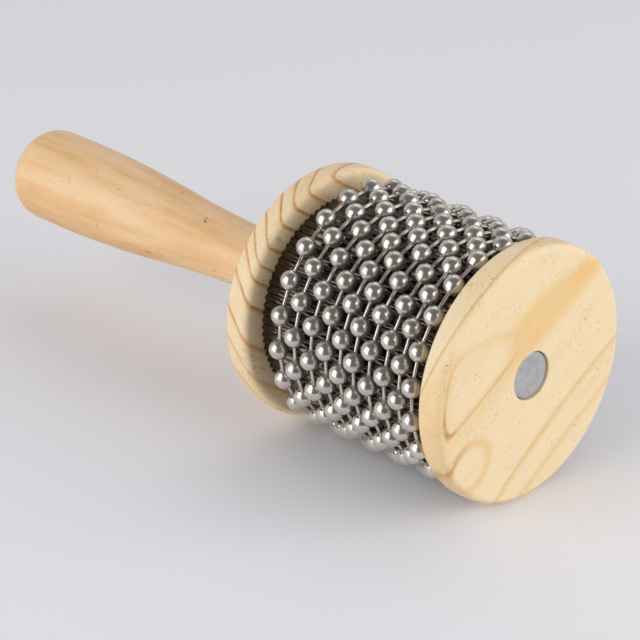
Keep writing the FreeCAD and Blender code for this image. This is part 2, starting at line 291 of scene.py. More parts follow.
@dataclass(frozen=True)
class Grain:
    """A point of a board in millimetres: along the fibres, across them, and up from its base."""

    bench: Bench
    along: Wire
    across: Wire
    height: Wire

    def noise(self, squeeze: float, size: float, detail: float = 2.0, roughness: float = 0.5) -> Wire:
        """Soft noise that is drawn out along the fibres, the more the smaller its squeeze is."""
        where = self.bench.join(self.along * squeeze, self.across, self.height)
        return self.bench.noise(where, size, detail, roughness)


def overlay(*figures: Figure) -> Figure:
    """Lays figures over each other, so that the strongest band and the strongest thread show.

    Args:
        *figures: How much soft band and how much dark thread each figure has at a point.

    Returns:
        How much of both the whole has.
    """
    band, thread = figures[0]
    for more_band, more_thread in figures[1:]:
        band = band.largest(more_band)
        thread = thread.largest(more_thread)
    return band, thread


@dataclass(frozen=True)
class GrowthLine:
    """The edge at which one year's wood ends, with sizes in millimetres.

    Attributes:
        level: Where it lies in its board's layers.
        soft: How wide its soft side is.
        crisp: How wide its crisp side is.
        tone: How strong its soft side is.
        thread: How strong the dark thread at its edge is.
        bend: How fast it curves away along the grain, beyond the place where that starts.
    """

    THREAD_SOFT = 0.45
    THREAD_CRISP = 0.7

    level: float
    soft: float = 2.4
    crisp: float = 0.9
    tone: float = 0.5
    thread: float = 0.15
    bend: float = 0.0
    bend_start: float = 14.0

    def draw(self, layers: Wire, along: Wire) -> Figure:
        """Draws the line.

        Args:
            layers: The board's layers at a point, in millimetres.
            along: The place along the grain, in millimetres.

        Returns:
            How much of the soft band and of the dark thread there is.
        """
        offset = layers - self.level
        if self.bend:
            run = along - self.bend_start
            offset = offset + run * run * self.bend
        band = offset.ridge(-self.soft, 0.0, 0.0, self.crisp)
        thread = offset.ridge(-self.THREAD_SOFT * self.soft, 0.0, 0.0, self.THREAD_CRISP * self.crisp)
        return band * self.tone, thread * self.thread


@dataclass(frozen=True)
class PineFinish(Finish):
    """Pale sanded pine: growth lines with a soft and a crisp side, fine fibres, clouds and small pores.

    Attributes:
        grain_turn: The direction of the fibres in the disc's plane, in degrees from X.
        slope: How fast the lines move across the grain with height.
        base_height: The height at which the lines' levels hold, in millimetres.
        lines: The growth lines.
        warp: How far the lines wander, in millimetres.
        ripple: How far they tremble from fibre to fibre, in millimetres.
        resin: How strong the small honey-coloured spots are.
    """

    grain_turn: float
    slope: float
    base_height: float
    lines: tuple[GrowthLine, ...]
    warp: float = 0.8
    ripple: float = 0.35
    resin: float = 0.25
    pale: Colour = tone(242, 220, 181)
    band: Colour = tone(238, 197, 130)
    edge: Colour = tone(186, 124, 62)
    fibre: Colour = tone(224, 190, 142)
    cloud: Colour = tone(242, 218, 178)
    honey: Colour = tone(222, 168, 98)
    pore: Colour = tone(146, 100, 58)

    def paint(self, bench: Bench) -> None:
        """Lays the lines on pale wood, then fibres, clouds, honey-coloured spots and pores.

        Args:
            bench: The material's bench.
        """
        place = bench.place()
        turn = math.radians(self.grain_turn)
        along = place.dot((math.cos(turn), math.sin(turn), 0.0))
        across = place.dot((math.sin(turn), -math.cos(turn), 0.0))
        height = place.dot(UP) - self.base_height
        grain = Grain(bench, along, across, height)
        drift = (grain.noise(0.14, 12.0, 1.0) - 0.5) * (2.0 * self.warp)
        ripple = (grain.noise(0.3, 2.4) - 0.5) * (2.0 * self.ripple)
        wavy = Grain(bench, along, across + drift + ripple, height)
        band, edge = self._figure(wavy, wavy.across + height * self.slope)
        edge = edge * (grain.noise(0.5, 3.0).step(0.25, 0.6) * 0.5 + 0.6)
        threads = grain.noise(0.035, 0.33, 3.0, 0.7)
        cloud = grain.noise(0.14, 6.0)
        spots = grain.noise(0.6, 1.3, 1.0).step(0.56, 0.72)
        patches = grain.noise(0.6, 9.0, 1.0).step(0.45, 0.7)
        pores = self._pores(grain)
        colour = bench.blend(band, self.pale, self.band)
        colour = bench.blend(edge, colour, self.edge)
        colour = bench.blend(threads.step(0.35, 0.75) * 0.16, colour, self.fibre, "MULTIPLY")
        colour = bench.blend(cloud.step(0.4, 0.8) * 0.2, colour, self.cloud, "MULTIPLY")
        colour = bench.blend(spots * patches * self.resin, colour, self.honey)
        colour = bench.blend(pores * 0.8, colour, self.pore)
        relief = threads * 0.5 + edge * 0.3 - pores * 0.9
        bench.finish(
            Base_Color=colour,
            Roughness=threads * 0.16 + 0.5 - edge * 0.08 + pores * 0.2,
            Specular_IOR_Level=0.35,
            Normal=bench.bump(relief, 0.07, 0.6),
        )

    def _figure(self, grain: Grain, layers: Wire) -> Figure:
        """All the growth lines, on the board's layers in millimetres."""
        return overlay(*(line.draw(layers, grain.along) for line in self.lines))

    @staticmethod
    def _pores(grain: Grain) -> Wire:
        """Small dark dashes along the fibres, thinned out by a broad noise.

        Args:
            grain: The point of the board.

        Returns:
            How dark the pores are there.
        """
        bench = grain.bench
        where = bench.join(grain.along * 0.45, grain.across * 1.5, grain.height * 1.5)
        crowd = grain.noise(0.5, 8.0).step(0.42, 0.64)
        return bench.noise(where, 0.55, 1.0).step(0.645, 0.73) * (crowd * 0.85 + 0.15)


@dataclass(frozen=True)
class HookedPineFinish(PineFinish):
    """The front disc's board, cut so that a broad band closes round a pale hook, with an island beside it.

    The fields place the hook's flanks, the band and the island along and across the grain, in millimetres.
    """

    hook_top: float = 11.0
    hook_right: float = 20.4
    hook_left: float = 34.6
    hook_end: float = 1.0
    band_start: float = 3.0
    band_end: float = 21.5
    island: Point = (-31.0, -3.8)

    def _figure(self, grain: Grain, layers: Wire) -> Figure:
        """The growth lines with the broad band, the hook and the island."""
        hook = self._hook(grain, layers)
        lines = super()._figure(grain, layers)
        return overlay(lines, self._broad_band(grain, layers, hook), self._island(grain))

    def _hook(self, grain: Grain, layers: Wire) -> Wire:
        """How far a point lies outside the hook's pale inside, a tongue with round corners.

        Args:
            grain: The point of the board.
            layers: The board's layers there, in millimetres.

        Returns:
            The distance in millimetres, below 0 inside.
        """
        along = grain.along
        top = self.hook_top - layers
        right = (along * 0.5 + layers - self.hook_right) * 0.9
        end = (along - self.hook_end) * 0.5
        left = (along * along + layers * layers) ** 0.5 - self.hook_left - grain.height * 0.6
        return top.softly_largest(right, 7.0).softly_largest(left, 8.0).softly_largest(end, 8.0)

    def _broad_band(self, grain: Grain, layers: Wire, hook: Wire) -> Figure:
        """The broad band that fills the face's middle and runs round the hook.

        Args:
            grain: The point of the board.
            layers: The board's layers there, in millimetres.
            hook: How far the point lies outside the hook.

        Returns:
            How much soft band and how much dark thread there is.
        """
        along, behind = grain.along, -grain.along
        ahead = along.largest(0.0)
        low_edge = self.band_end - along.smallest(0.0) * 0.62 - ahead * ahead * 0.0065
        inside = layers.step(self.band_start, 9.5) * (1.0 - (layers - low_edge).step(-4.5, 1.2))
        share = along.step(-14.0, 8.0) * 0.34 + along.step(18.0, 34.0) * 0.22 + 0.42
        tip = behind.step(27.5, 33.0) * 0.62 * (1.0 - grain.height.step(1.0, 5.0) * 0.6)
        rim = behind.step(-2.0, 10.0) * (13.5 - along - layers).step(0.0, 7.0) * 0.24
        thread = hook.ridge(-0.3, 0.4, 0.5, 1.7)
        return inside * hook.step(-2.6, 0.4) * share, thread * (tip + rim + 0.05)

    def _island(self, grain: Grain) -> Figure:
        """A small closed ring of wood near the rim.

        Args:
            grain: The point of the board.

        Returns:
            How much soft band and how much dark thread there is.
        """
        along, across = grain.along - self.island[0], grain.across - self.island[1]
        reach = grain.bench.join(along / 1.15, across, grain.height * 0.6).length()
        lower_left = (grain.across - grain.along - 27.2).step(1.0, 10.0) * 0.42 + 0.07
        return reach.ridge(4.2, 6.6, 6.8, 10.0) * 0.52, reach.ridge(5.4, 6.8, 6.8, 8.4) * lower_left


@dataclass(frozen=True)
class Mark:
    """A small blemish: its angle round the handle in degrees, its sizes in millimetres, and its darkness."""

    angle: float
    height: float
    length: float
    width: float
    depth: float


@dataclass(frozen=True)
class HandleFinish(Finish):
    """Honey-coloured hardwood, turned and waxed: long soft streaks, short flecks and a few small marks."""

    name: str = "waxed_hardwood"
    marks: tuple[Mark, ...] = (
        Mark(-64.0, 123.5, 1.9, 0.9, 0.9),
        Mark(-58.0, 124.0, 1.3, 1.4, 0.4),
        Mark(-154.0, 143.0, 3.6, 1.3, 0.55),
        Mark(-154.0, 138.0, 2.2, 1.0, 0.4),
        Mark(-147.0, 116.0, 3.6, 1.2, 0.3),
        Mark(-134.0, 163.0, 2.4, 1.1, 0.3),
        Mark(-75.5, 157.5, 1.8, 0.8, 0.35),
        Mark(-32.0, 139.5, 1.6, 0.9, 0.3),
    )
    light: Colour = tone(239, 204, 158)
    honey: Colour = tone(229, 184, 130)
    streak: Colour = tone(206, 152, 92)
    cloud: Colour = tone(236, 205, 160)
    fleck: Colour = tone(178, 124, 72)
    blemish: Colour = tone(128, 84, 44)

    def paint(self, bench: Bench) -> None:
        """Lays streaks, clouds, flecks and marks on light wood, with the fine rings of the turning.

        Args:
            bench: The material's bench.
        """
        place = bench.place()
        broad = bench.noise(place.times((1.0, 1.0, 0.10)), 7.0)
        narrow = bench.noise(place.times((1.0, 1.0, 0.05)), 1.7, 2.0, 0.6)
        threads = bench.noise(place.times((1.0, 1.0, 0.04)), 0.3, 3.0, 0.7)
        flecks = bench.noise(place.times((1.0, 1.0, 0.22)), 0.45, 1.0).step(0.64, 0.78)
        cloud = bench.noise(place.times((1.0, 1.0, 0.45)), 11.0, 3.0)
        turning = bench.noise(place.times((0.05, 0.05, 1.0)), 0.5)
        marks = self._marks(bench, place)
        colour = bench.blend(broad.step(0.3, 0.7), self.light, self.honey)
        colour = bench.blend(narrow.step(0.5, 0.85) * 0.55, colour, self.streak)
        colour = bench.blend(cloud.step(0.45, 0.75) * 0.3, colour, self.cloud, "MULTIPLY")
        colour = bench.blend(threads.step(0.4, 0.8) * 0.2, colour, self.streak)
        colour = bench.blend(flecks * 0.35, colour, self.fleck)
        colour = bench.blend(marks, colour, self.blemish)
        relief = threads * 0.45 + turning * 0.2 - flecks * 0.5 - marks * 0.8
        bench.finish(
            Base_Color=colour,
            Roughness=threads * 0.12 + cloud * 0.08 + 0.34 + flecks * 0.1,
            Specular_IOR_Level=0.45,
            Coat_Weight=0.12,
            Coat_Roughness=0.3,
            Normal=bench.bump(relief, 0.05, 0.5),
        )

    def _marks(self, bench: Bench, place: Wire) -> Wire:
        """How strong the marks are at a point.

        Args:
            bench: The handle's bench.
            place: The point, in millimetres.

        Returns:
            Their darkness, from 0 to 1.
        """
        ragged = (bench.noise(place, 0.9, 3.0) - 0.5) * 0.9
        total: Wire | float = 0.0
        for mark in self.marks:
            centre = HandleShape().point(mark.angle, mark.height)
            offset = place.shifted(tuple(-value for value in centre))
            scaled = offset.times((2.0 / mark.width, 2.0 / mark.width, 2.0 / mark.length))
            total = (1.0 - (scaled.length() + ragged).step(0.3, 1.0)) * mark.depth + total
        return total


@dataclass(frozen=True)
class PlainWoodFinish(Finish):
    """Unseen wood of the drum core: sawn, pale and dry."""

    name: str = "sawn_core"
    light: Colour = tone(214, 180, 132)
    dark: Colour = tone(186, 146, 98)

    def paint(self, bench: Bench) -> None:
        """Draws broad rings and the marks of the saw.

        Args:
            bench: The material's bench.
        """
        place = bench.place()
        rings = bench.noise(place.times((1.0, 0.3, 0.1)), 3.0, 3.0)
        saw_marks = bench.noise(place.times((0.05, 0.05, 1.0)), 0.8)
        bench.finish(
            Base_Color=bench.blend(rings.step(0.3, 0.7), self.light, self.dark),
            Roughness=rings * 0.2 + 0.6,
            Normal=bench.bump(rings * 0.5 + saw_marks * 0.5, 0.1),
        )


@dataclass(frozen=True)
class SteelFinish(Finish):
    """Metal with a slightly uneven polish.

    Attributes:
        bright: The metal at its cleanest.
        dull: The metal where it is dullest.
        polish: The lowest roughness.
        haze: How much rougher it gets.
        patch: How wide the dull patches are, in millimetres.
        dents: How deep its small dents are, in millimetres.
        scratch: How strong the fine lines are.
        stretch: How the fine lines are drawn out along X, Y and Z.
        own_tone: Whether each ball has a tone of its own.
        mirror: How much of it mirrors, while the rest scatters light.
    """

    bright: Colour
    dull: Colour
    polish: float
    haze: float
    patch: float
    dents: float = 0.05
    scratch: float = 0.3
    stretch: Triple = (1.0, 1.0, 1.0)
    own_tone: bool = False
    mirror: float = 1.0

    def paint(self, bench: Bench) -> None:
        """Lays dull patches and fine lines on the bright metal, and dents it a little.

        Args:
            bench: The material's bench.
        """
        place = bench.place()
        lines = bench.noise(place.times(self.stretch), 0.35, 3.0, 0.7)
        share = bench.noise(place, self.patch, 3.0, 0.6).step(0.35, 0.75)
        if self.own_tone:
            settings = {"attribute_name": BallShape.TONE, "attribute_type": "GEOMETRY"}
            share = share * 0.45 + bench.add("ShaderNodeAttribute", settings, None, "Fac") * 0.55
        relief = bench.noise(place, 1.7, 1.0) * 0.8 + lines * (self.scratch * 0.25)
        bench.finish(
            Base_Color=bench.blend(share, self.bright, self.dull),
            Metallic=self.mirror,
            Roughness=share * self.haze + self.polish + lines * (self.scratch * 0.1),
            Normal=bench.bump(relief, self.dents, 0.5),
        )


@dataclass(frozen=True)
class FloorFinish(Finish):
    """A pale matt floor that only some rays meet, and only from above.

    Attributes:
        colour: Its colour.
        frontward: The direction along it towards the camera, for a floor that the metal mirrors too.
        mirrored_end: Between which two places in that direction the mirrored floor ends, in metres.
    """

    colour: Colour = (0.86, 0.86, 0.895)
    frontward: Triple | None = None
    mirrored_end: Point = (0.06, 0.12)

    def paint(self, bench: Bench) -> None:
        """Shows the floor to the camera and, near the drum, to the metal that mirrors it.

        Args:
            bench: The material's bench.
        """
        seen = bench.ray("Is Camera Ray")
        if self.frontward:
            forward = bench.add("ShaderNodeTexCoord", result="Object").dot(self.frontward)
            seen = bench.ray("Is Glossy Ray") * (1.0 - forward.step(*self.mirrored_end)) + seen
        behind = bench.add("ShaderNodeNewGeometry", result="Backfacing")
        share = seen.smallest(1.0) * (1.0 - behind)
        clear = bench.add("ShaderNodeBsdfTransparent")
        matt = bench.add("ShaderNodeBsdfDiffuse", None, {"Color": (*self.colour, 1.0)})
        mixed = bench.add("ShaderNodeMixShader", None, {0: share, 1: clear, 2: matt})
        bench.add("ShaderNodeOutputMaterial", None, {"Surface": mixed})


FRONT_PINE = HookedPineFinish(
    name="pine_front",
    grain_turn=25.0,
    slope=2.2,
    base_height=0.0,
    lines=(
        GrowthLine(-28.2, soft=3.2, crisp=2.2, tone=0.46, thread=0.05, bend=0.0012),
        GrowthLine(-18.2, soft=3.0, crisp=1.6, tone=0.48, thread=0.15, bend=0.0022),
        GrowthLine(39.5, soft=4.0, crisp=1.2, tone=0.5, thread=0.3),
    ),
)
REAR_PINE = PineFinish(
    name="pine_rear",
    grain_turn=90.0,
    slope=-1.2,
    base_height=81.7,
    lines=tuple(
        GrowthLine(level, soft, 0.8, band, thread)
        for level, soft, band, thread in (
            (-37.0, 2.6, 0.5, 0.3),
            (-29.0, 3.2, 0.6, 0.4),
            (-21.6, 2.8, 0.6, 0.35),
            (-13.6, 3.4, 0.8, 0.6),
            (-3.4, 3.0, 0.8, 0.75),
            (3.8, 2.6, 0.75, 0.7),
            (8.6, 2.0, 0.7, 0.65),
            (14.4, 2.2, 0.7, 0.75),
            (20.9, 2.4, 0.75, 0.85),
            (26.6, 2.4, 0.7, 0.75),
            (32.4, 2.4, 0.7, 0.65),
            (39.2, 2.8, 0.7, 0.55),
        )
    ),
    warp=1.1,
    resin=0.6,
    pale=tone(240, 217, 180),
    band=tone(236, 198, 140),
    edge=tone(186, 118, 66),
)
BEAD_STEEL = SteelFinish(
    name="polished_balls",
    bright=(0.72, 0.675, 0.62),
    dull=(0.58, 0.54, 0.49),
    polish=0.21,
    haze=0.05,
    patch=2.4,
    own_tone=True,
    mirror=0.87,
)
# Painted shade: the sleeve's colours are far darker than its bright steel, so that it paints the shade in
# the gaps between the balls; its dull patches are uneven polish.
SLEEVE_STEEL = SteelFinish(
    name="crimped_steel_painted_shade",
    bright=(0.15, 0.128, 0.107),
    dull=(0.07, 0.058, 0.048),
    polish=0.07,
    haze=0.07,
    patch=4.0,
    scratch=1.0,
    stretch=(1.0, 1.0, 0.06),
)
ZINC_STEEL = SteelFinish(
    name="dull_zinc",
    bright=(0.50, 0.505, 0.51),
    dull=(0.42, 0.425, 0.43),
    polish=0.42,
    haze=0.10,
    patch=2.6,
    scratch=0.5,
    stretch=(0.15, 1.0, 1.0),
)
INSERT_STEEL = SteelFinish(
    name="threaded_insert",
    bright=(0.58, 0.52, 0.40),
    dull=(0.42, 0.36, 0.26),
    polish=0.3,
    haze=0.2,
    patch=1.5,
)


def clear_selection() -> None:
    """Leaves nothing selected, so that an operator acts only on what is picked next."""
    bpy.ops.object.select_all(action="DESELECT")


def pick(piece: bpy.types.Object) -> None:
    """Selects one piece alone and makes it the active one.

    Args:
        piece: The piece.
    """
    clear_selection()
    piece.select_set(True)
    bpy.context.view_layer.objects.active = piece


@contextmanager
def editing(piece: bpy.types.Object) -> Iterator[None]:
    """Holds a piece in edit mode, with none of its corners selected at the start.

    Args:
        piece: The piece to edit.
    """
    pick(piece)
    bpy.ops.object.mode_set(mode="EDIT")
    bpy.ops.mesh.select_mode(type="VERT")
    bpy.ops.mesh.select_all(action="DESELECT")
    try:
        yield
    finally:
        bpy.ops.object.mode_set(mode="OBJECT")


def pick_corners(piece: bpy.types.Object, wanted: Callable[[Vector], bool]) -> None:
    """Selects the corners of a piece in edit mode whose place passes a test.

    Args:
        piece: The piece, in edit mode.
        wanted: Says whether a corner at that place is wanted.
    """
    shape = bmesh.from_edit_mesh(piece.data)
    for corner in shape.verts:
        corner.select = wanted(corner.co)
    shape.select_flush_mode()
    bmesh.update_edit_mesh(piece.data)


def draw_out(rise: float) -> None:
    """Extrudes what is selected along Z by a rise in metres."""
    bpy.ops.mesh.extrude_region_move(TRANSFORM_OT_translate={"value": (0.0, 0.0, rise)})


def narrow(share: float) -> None:
    """Scales what is selected towards the axis, and leaves its height."""
    bpy.ops.transform.resize(value=(share, share, 1.0), center_override=(0.0, 0.0, 0.0))


def face_outwards() -> None:
    """Turns all the faces of the piece in edit mode outwards."""
    bpy.ops.mesh.select_all(action="SELECT")
    bpy.ops.mesh.normals_make_consistent(inside=False)


def apply_place(piece: bpy.types.Object) -> None:
    """Moves a piece's place into its mesh, so that its object sits at the origin."""
    pick(piece)
    bpy.ops.object.transform_apply(location=True, rotation=True, scale=True)


def smooth(piece: bpy.types.Object, angle: float = 32.0) -> None:
    """Shades a piece smooth, apart from edges sharper than an angle in degrees."""
    pick(piece)
    bpy.ops.object.shade_smooth_by_angle(angle=math.radians(angle))


def coat(piece: bpy.types.Object, material: bpy.types.Material) -> None:
    """Gives a piece one material for all of its faces."""
    piece.data.materials.clear()
    piece.data.materials.append(material)


def fit(piece: bpy.types.Object, body: Body, slot: Slot, *nodes: str) -> None:
    """Puts a finished piece on its body, in the place of the nodes it stands for.

    Args:
        piece: The finished piece.
        body: The body that it moves with.
        slot: The record's slot of its finish; not used.
        *nodes: The nodes that it replaces.
    """
    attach(piece, body.value)
    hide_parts(*nodes)
    LOG.info("%s: %d faces, on %s", piece.name, len(piece.data.polygons), body.value)


def reach(node: str) -> Triple:
    """A round node's radius, its lowest place and its highest place, in millimetres."""
    low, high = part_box(node)
    return high.x / MM, low.z / MM, high.z / MM


def arc(centre: Point, radius: float, start: float, end: float, steps: int) -> list[Point]:
    """Points on a circular arc of a profile.

    Args:
        centre: The arc's centre, as radius and height.
        radius: The arc's own radius.
        start: The angle of the first point, in degrees.
        end: The angle of the last point, in degrees.
        steps: How many spans it has.

    Returns:
        The points, both ends included.
    """
    points = []
    for step in range(steps + 1):
        angle = math.radians(start + (end - start) * step / steps)
        points.append((centre[0] + radius * math.cos(angle), centre[1] + radius * math.sin(angle)))
    return points


def turned(name: str, profile: Sequence[Point], segments: int, ring: bool) -> bpy.types.Object:
    """Makes a round piece ring by ring, as its profile goes from one end to the other.

    Args:
        name: The piece's name.
        profile: Radius and height of each ring, in millimetres.
        segments: How many sides it has.
        ring: Whether the profile closes on itself, as that of a piece with a bore does.

    Returns:
        The piece, shaded smooth.
    """
    first_radius, first_height = (value * MM for value in profile[0])
    radius, height = first_radius, first_height
    clear_selection()
    bpy.ops.mesh.primitive_circle_add(vertices=segments, radius=radius, location=(0.0, 0.0, height))
    piece = bpy.context.object
    piece.name = name
    apply_place(piece)
    with editing(piece):
        bpy.ops.mesh.select_all(action="SELECT")
        for point in (*profile[1:], *(profile[:1] if ring else ())):
            new_radius, new_height = point[0] * MM, point[1] * MM
            draw_out(new_height - height)
            narrow(new_radius / radius)
            radius, height = new_radius, new_height
        if not ring:
            bpy.ops.mesh.edge_face_add()
            pick_corners(
                piece,
                lambda co: abs(co.z - first_height) < HAIR and abs(co.xy.length - first_radius) < HAIR,
            )
            bpy.ops.mesh.edge_face_add()
        bpy.ops.mesh.select_all(action="SELECT")
        bpy.ops.mesh.remove_doubles(threshold=HAIR)
        face_outwards()
    smooth(piece)
    return piece


@dataclass
class Discs:
    """The two pine discs that close the drum, with their rounded rims; sizes are in millimetres.

    Attributes:
        rounding: The radius of the rims' edges.
        recess_radius: The radius of the recess for the bolt's head.
        recess_depth: How deep that recess is.
        bolt_hole: The radius of the hole for the bolt.
        socket: The radius of the rear disc's hole for the handle.
        break_edge: How much the edges of the holes are eased.
        hold: How far from an edge a ring keeps the face beside it flat.
    """

    rounding: float = 1.9
    recess_radius: float = 7.1
    recess_depth: float = 3.0
    bolt_hole: float = 3.3
    socket: float = 6.6
    break_edge: float = 0.3
    segments: int = 128
    hold: float = 0.5
    rim_steps: int = 7
    face_steps: int = 4

    def build_front(self) -> None:
        """Turns the front disc with the recess for the bolt's head."""
        radius, bottom, top = reach("front_disc")
        ease = self.break_edge
        floor = bottom + self.recess_depth
        start = (self.recess_radius + ease + self.hold, bottom)
        end = (self.bolt_hole + self.hold, top)
        profile = [
            (self.bolt_hole, floor),
            (self.recess_radius - ease, floor),
            (self.recess_radius, floor - ease),
            *arc((self.recess_radius + ease, bottom + ease), ease, 180.0, 270.0, 3),
            *self._outside(radius, start, end),
            (self.bolt_hole, top),
        ]
        disc = turned("front_disc_turned", profile, self.segments, ring=True)
        coat(disc, FRONT_PINE.build())
        fit(disc, Body.FRAME, Slot.PINE, "front_disc")

    def build_rear(self) -> None:
        """Turns the rear disc with the hole that holds the handle."""
        radius, bottom, top = reach("rear_disc")
        inner = self.socket + self.hold
        outside = self._outside(radius, (inner, bottom), (inner, top))
        profile = [(self.socket, bottom), *outside, (self.socket, top)]
        disc = turned("rear_disc_turned", profile, self.segments, ring=True)
        coat(disc, REAR_PINE.build())
        fit(disc, Body.FRAME, Slot.PINE, "rear_disc")

    def _outside(self, radius: float, start: Point, end: Point) -> list[Point]:
        """The profile from the low face round the rim to the high face.

        Args:
            radius: The disc's radius.
            start: Where it starts on the low face.
            end: Where it ends on the high face.

        Returns:
            The points, both ends included.
        """
        low, high = start[1], end[1]
        inner = radius - self.rounding
        lower = arc((inner, low + self.rounding), self.rounding, -90.0, 0.0, self.rim_steps)
        upper = arc((inner, high - self.rounding), self.rounding, 0.0, 90.0, self.rim_steps)
        low_edge, high_edge = (inner - self.hold, low), (inner - self.hold, high)
        rim = [*lower, (radius, (low + high) / 2.0), *upper]
        return [
            start,
            *self._spans(start, low_edge),
            low_edge,
            *rim,
            high_edge,
            *self._spans(high_edge, end),
            end,
        ]

    def _spans(self, start: Point, end: Point) -> list[Point]:
        """Evenly spaced points between two.

        Args:
            start: The point before them.
            end: The point after them.

        Returns:
            The points, without the two.
        """
        points = []
        for step in range(1, self.face_steps):
            share = step / self.face_steps
            points.append(tuple(first + (last - first) * share for first, last in zip(start, end)))
        return points


@dataclass(frozen=True)
class HandleShape:
    """The handle's outline in millimetres: a neck, a hollow waist, a full belly and a straight grip.

    Each part ends at a height. The waist and the belly are circular arcs, and the grip's end has a corner.
    """

    neck_radius: float = 9.35
    neck_end: float = 100.0
    waist_radius: float = 361.1
    waist_end: float = 140.0
    belly_radius: float = 451.4
    belly_end: float = 190.0
    grip_radius: float = 14.35
    corner: float = 8.5
    length: float = 205.6

    def radius(self, height: float) -> float:
        """The handle's radius at a height.

        Args:
            height: The height, short of the rounded end.

        Returns:
            The radius.
        """
        if height <= self.neck_end:
            return self.neck_radius
        if height <= self.waist_end:
            run = height - self.neck_end
            return self.neck_radius + self.waist_radius - math.sqrt(self.waist_radius**2 - run**2)
        if height <= self.belly_end:
            run = self.belly_end - height
            return self.grip_radius - self.belly_radius + math.sqrt(self.belly_radius**2 - run**2)
        return self.grip_radius

    def point(self, angle: float, height: float) -> Triple:
        """The point on the surface at an angle in degrees and a height."""
        radius, turn = self.radius(height), math.radians(angle)
        return (radius * math.cos(turn), radius * math.sin(turn), height)


@dataclass
class Handle:
    """The turned handle, whose tenon sits in the rear disc and holds the insert in a socket.

    Attributes:
        shape: Its outline.
        socket_end: The height of the socket's bottom, in millimetres, as all sizes here are.
        shoulder_ease: How much the shoulder's edge is eased.
        span: The distance between rings along the grip.
        inner_share: How wide the flat end's innermost ring is, as a share of it.
    """

    shape: HandleShape = field(default_factory=HandleShape)
    tenon_radius: float = 6.5
    socket_radius: float = 4.5
    socket_end: float = 97.7
    shoulder_ease: float = 0.6
    span: float = 2.5
    inner_share: float = 0.5
    segments: int = 96

    def build(self) -> None:
        """Turns the handle from the socket's bottom round the tenon to the flat end."""
        shape, ease = self.shape, self.shoulder_ease
        tenon_start, shoulder = reach("handle")[1], reach("rear_disc")[2]
        start = shoulder + ease
        corner_start = shape.length - shape.corner
        count = round((corner_start - start) / self.span)
        heights = [start + (corner_start - start) * step / count for step in range(1, count)]
        end_centre = (shape.grip_radius - shape.corner, corner_start)
        profile = [
            (self.socket_radius, self.socket_end),
            (self.socket_radius, tenon_start),
            (self.tenon_radius, tenon_start),
            (self.tenon_radius, shoulder),
            *arc((shape.neck_radius - ease, start), ease, -90.0, 0.0, 4),
            *((shape.radius(height), height) for height in heights),
            *arc(end_centre, shape.corner, 0.0, 90.0, 14),
            (end_centre[0] * self.inner_share, shape.length),
        ]
        handle = turned("handle_turned", profile, self.segments, ring=False)
        coat(handle, HandleFinish().build())
        fit(handle, Body.FRAME, Slot.HANDLE_WOOD, "handle")


@dataclass
class CentreBolt:
    """The bolt through the drum, whose flat head shows in the front disc; sizes are in millimetres.

    Attributes:
        head_ease: How much the head's edge is rounded.
        hold: How far from that edge a ring keeps the head flat.
        tip_ease: The chamfer at its tip.
        inner_share: How wide the head's innermost ring is, as a share of the head.
    """

    shank_radius: float = 3.0
    head_depth: float = 2.4
    head_ease: float = 0.35
    hold: float = 0.3
    tip_ease: float = 0.8
    inner_share: float = 0.45
    segments: int = 72

    def build(self) -> None:
        """Turns the bolt from its head's middle to its tip."""
        head, bottom, tip = reach("centre_bolt")
        ease = self.head_ease
        profile = [
            (head * self.inner_share, bottom),
            (head - ease - self.hold, bottom),
            *arc((head - ease, bottom + ease), ease, -90.0, 0.0, 4),
            (head, bottom + self.head_depth),
            (self.shank_radius, bottom + self.head_depth),
            (self.shank_radius, tip - self.tip_ease),
            (self.shank_radius - self.tip_ease, tip),
        ]
        bolt = turned("centre_bolt_turned", profile, self.segments, ring=False)
        coat(bolt, ZINC_STEEL.build())
        fit(bolt, Body.FRAME, Slot.ZINC_STEEL, "centre_bolt")


@dataclass
class RibbedSleeve:
    """The crimped steel sleeve under the ball chains.

    Attributes:
        corners: How many corners each rib has.
        depth: How deep the crimp is, in millimetres.
        sheet: How thick the sheet is, in millimetres.
    """

    ribs: int = 84
    corners: int = 8
    depth: float = 0.7
    sheet: float = 0.45

    def build(self) -> None:
        """Crimps a thin tube rib by rib, and gives it the sheet's thickness."""
        low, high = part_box("ribbed_sleeve")
        crest = high.x
        clear_selection()
        bpy.ops.mesh.primitive_cylinder_add(
            vertices=self.ribs * self.corners,
            radius=crest,
            depth=high.z - low.z,
            end_fill_type="NOTHING",
            location=(0.0, 0.0, (low.z + high.z) / 2.0),
        )
        sleeve = bpy.context.object
        sleeve.name = "ribbed_sleeve_crimped"
        apply_place(sleeve)
        with editing(sleeve):
            for corner in range(1, self.corners):
                drop = 0.5 - 0.5 * math.cos(FULL_TURN * corner / self.corners)
                pick_corners(sleeve, lambda co, wanted=corner: self._corner(co) == wanted)
                narrow(1.0 - self.depth * MM * drop / crest)
            face_outwards()
        wall = sleeve.modifiers.new("sheet", "SOLIDIFY")
        wall.thickness = self.sheet * MM
        wall.offset = -1.0
        pick(sleeve)
        bpy.ops.object.modifier_apply(modifier=wall.name)
        smooth(sleeve, 60.0)
        coat(sleeve, SLEEVE_STEEL.build())
        fit(sleeve, Body.FRAME, Slot.SLEEVE_STEEL, "ribbed_sleeve")

    def _corner(self, place: Vector) -> int:
        """Which corner of its rib a point is."""
        turn = math.atan2(place.y, place.x) / FULL_TURN
        return round(turn * self.ribs * self.corners) % self.corners


